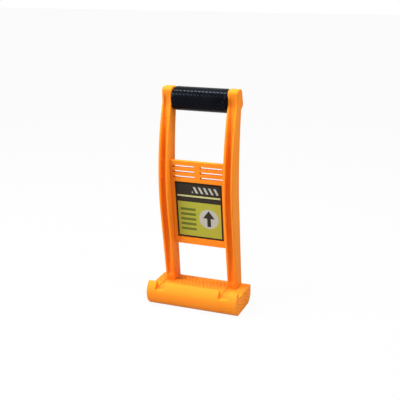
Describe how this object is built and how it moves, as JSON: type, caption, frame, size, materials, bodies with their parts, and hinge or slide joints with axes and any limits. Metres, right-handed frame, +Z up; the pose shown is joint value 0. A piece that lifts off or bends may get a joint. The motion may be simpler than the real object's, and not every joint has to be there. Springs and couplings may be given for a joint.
{
  "type": "panel carrier",
  "caption": "Hand frame for carrying sheet boards: bowed rails on a lipped foot, a slotted cross panel with a label card, and a round rubber grip across the top.",
  "frame": {"origin": "on the floor, at the middle of the carrier's plan", "axes": "+X across the carrier to the right as seen from its front, -Y to the front where the board stands, +Z up"},
  "size_m": [0.176, 0.0934, 0.4015],
  "materials": {
    "orange_plastic": "satin moulded polypropylene",
    "black_rubber": "diamond-textured rubber",
    "zinc_steel": "zinc-plated",
    "printed_card": null
  },
  "bodies": {
    "root": {"foot_shell": "orange_plastic", "left_rail": "orange_plastic", "right_rail": "orange_plastic", "cross_panel": "orange_plastic", "label_card": "printed_card", "handle_tube": "orange_plastic", "grip_sleeve": "black_rubber", "foot_screws": "zinc_steel", "foot_washers": "zinc_steel", "handle_screws": "zinc_steel"}
  },
  "joints": []
}
